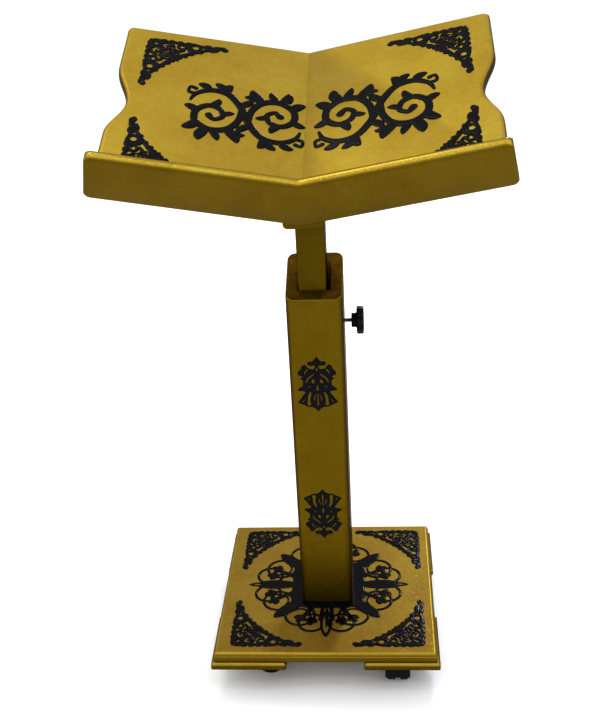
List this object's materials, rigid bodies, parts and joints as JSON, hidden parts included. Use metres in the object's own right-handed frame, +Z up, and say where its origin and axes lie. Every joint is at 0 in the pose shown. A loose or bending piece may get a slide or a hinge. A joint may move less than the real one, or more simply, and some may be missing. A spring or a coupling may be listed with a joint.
{
  "type": "quran stand",
  "caption": "Gold-painted wooden reading stand: V-shaped tilted book rest with front ledges on a clamped sliding mast in a box column, over a square base on swivel casters.",
  "frame": {"origin": "bottom centre of the whole stand, on the floor", "axes": "+Z up, +X to the reader's right, the reader stands at -Y and the book rest rises towards +Y"},
  "size_m": [0.5182, 0.4204, 0.9731],
  "materials": {
    "gold_paint": "metallic gold paint with fine sparkle over smooth wood board",
    "dark_gold_paint": "the same metallic gold paint on upright faces, seen olive brown",
    "black_relief": "raised black ornament paste, glossy and slightly uneven",
    "bare_wood": "unpainted planed wood",
    "black_plastic": "black moulded plastic, satin",
    "zinc_steel": "zinc-plated steel",
    "brass": "plain turned brass"
  },
  "bodies": {
    "stand": {"base_plate": "gold_paint", "front_left_corner_block": "dark_gold_paint", "front_left_caster_plate": "zinc_steel", "front_right_corner_block": "dark_gold_paint", "front_right_caster_plate": "zinc_steel", "rear_left_corner_block": "dark_gold_paint", "rear_left_caster_plate": "zinc_steel", "rear_right_corner_block": "dark_gold_paint", "rear_right_caster_plate": "zinc_steel", "column_front_panel": "dark_gold_paint", "column_rear_panel": "dark_gold_paint", "column_left_panel": "dark_gold_paint", "column_right_panel": "dark_gold_paint", "column_foot_block": "bare_wood", "column_screw_front_left": "zinc_steel", "column_screw_front_right": "zinc_steel", "column_screw_rear_left": "zinc_steel", "column_screw_rear_right": "zinc_steel", "clamp_insert": "brass", "medallion": "black_relief", "base_ornament_front_left": "black_relief", "base_ornament_front_right": "black_relief", "base_ornament_rear_left": "black_relief", "base_ornament_rear_right": "black_relief", "column_ornament_upper": "black_relief", "column_ornament_lower": "black_relief"},
    "lectern": {"mast": "gold_paint", "spine_block": "dark_gold_paint", "mast_screw_front": "zinc_steel", "mast_screw_rear": "zinc_steel", "left_board": "gold_paint", "left_ledge": "dark_gold_paint", "board_ornament_rear_left": "black_relief", "board_ornament_front_left": "black_relief", "left_scroll_ornament": "black_relief", "right_board": "gold_paint", "right_ledge": "dark_gold_paint", "board_ornament_rear_right": "black_relief", "board_ornament_front_right": "black_relief", "right_scroll_ornament": "black_relief"},
    "clamp_stud": {"clamp_stud": "zinc_steel"},
    "clamp_knob": {"clamp_knob": "black_plastic"},
    "front_left_caster": {"front_left_caster_hood": "black_plastic", "front_left_caster_axle": "zinc_steel"},
    "front_left_wheel_a": {"front_left_caster_wheel_a": "black_plastic"},
    "front_left_wheel_b": {"front_left_caster_wheel_b": "black_plastic"},
    "front_right_caster": {"front_right_caster_hood": "black_plastic", "front_right_caster_axle": "zinc_steel"},
    "front_right_wheel_a": {"front_right_caster_wheel_a": "black_plastic"},
    "front_right_wheel_b": {"front_right_caster_wheel_b": "black_plastic"},
    "rear_left_caster": {"rear_left_caster_hood": "black_plastic", "rear_left_caster_axle": "zinc_steel"},
    "rear_left_wheel_a": {"rear_left_caster_wheel_a": "black_plastic"},
    "rear_left_wheel_b": {"rear_left_caster_wheel_b": "black_plastic"},
    "rear_right_caster": {"rear_right_caster_hood": "black_plastic", "rear_right_caster_axle": "zinc_steel"},
    "rear_right_wheel_a": {"rear_right_caster_wheel_a": "black_plastic"},
    "rear_right_wheel_b": {"rear_right_caster_wheel_b": "black_plastic"}
  },
  "joints": [
    {"name": "mast_slide", "type": "slide", "parent": "stand", "child": "lectern", "axis": [0, 0, 1], "range_m": [-0.2, 0.18]},
    {"name": "clamp_travel", "type": "slide", "parent": "stand", "child": "clamp_stud", "axis": [1, 0, 0], "range_m": [0, 0.002]},
    {"name": "clamp_turn", "type": "hinge", "parent": "clamp_stud", "child": "clamp_knob", "pos_m": [0, 0.03416, 0.557], "axis": [1, 0, 0], "range_deg": [0, 720]},
    {"name": "front_left_swivel", "type": "hinge", "parent": "stand", "child": "front_left_caster", "pos_m": [-0.111, -0.07684, 0.042], "axis": [0, 0, 1], "continuous": true},
    {"name": "front_left_wheel_a_roll", "type": "hinge", "parent": "front_left_caster", "child": "front_left_wheel_a", "pos_m": [-0.09, -0.07684, 0.02], "axis": [0, 1, 0], "continuous": true},
    {"name": "front_left_wheel_b_roll", "type": "hinge", "parent": "front_left_caster", "child": "front_left_wheel_b", "pos_m": [-0.09, -0.07684, 0.02], "axis": [0, 1, 0], "continuous": true},
    {"name": "front_right_swivel", "type": "hinge", "parent": "stand", "child": "front_right_caster", "pos_m": [0.111, -0.07684, 0.042], "axis": [0, 0, 1], "continuous": true},
    {"name": "front_right_wheel_a_roll", "type": "hinge", "parent": "front_right_caster", "child": "front_right_wheel_a", "pos_m": [0.111, -0.09784, 0.02], "axis": [1, 0, 0], "continuous": true},
    {"name": "front_right_wheel_b_roll", "type": "hinge", "parent": "front_right_caster", "child": "front_right_wheel_b", "pos_m": [0.111, -0.09784, 0.02], "axis": [1, 0, 0], "continuous": true},
    {"name": "rear_left_swivel", "type": "hinge", "parent": "stand", "child": "rear_left_caster", "pos_m": [-0.111, 0.14516, 0.042], "axis": [0, 0, 1], "continuous": true},
    {"name": "rear_left_wheel_a_roll", "type": "hinge", "parent": "rear_left_caster", "child": "rear_left_wheel_a", "pos_m": [-0.111, 0.16616, 0.02], "axis": [1, 0, 0], "continuous": true},
    {"name": "rear_left_wheel_b_roll", "type": "hinge", "parent": "rear_left_caster", "child": "rear_left_wheel_b", "pos_m": [-0.111, 0.16616, 0.02], "axis": [1, 0, 0], "continuous": true},
    {"name": "rear_right_swivel", "type": "hinge", "parent": "stand", "child": "rear_right_caster", "pos_m": [0.111, 0.14516, 0.042], "axis": [0, 0, 1], "continuous": true},
    {"name": "rear_right_wheel_a_roll", "type": "hinge", "parent": "rear_right_caster", "child": "rear_right_wheel_a", "pos_m": [0.09, 0.14516, 0.02], "axis": [0, 1, 0], "continuous": true},
    {"name": "rear_right_wheel_b_roll", "type": "hinge", "parent": "rear_right_caster", "child": "rear_right_wheel_b", "pos_m": [0.09, 0.14516, 0.02], "axis": [0, 1, 0], "continuous": true}
  ],
  "couplings": [
    {"joint": "clamp_travel", "follows": "clamp_turn", "m_per_rad": 0.00015915}
  ]
}
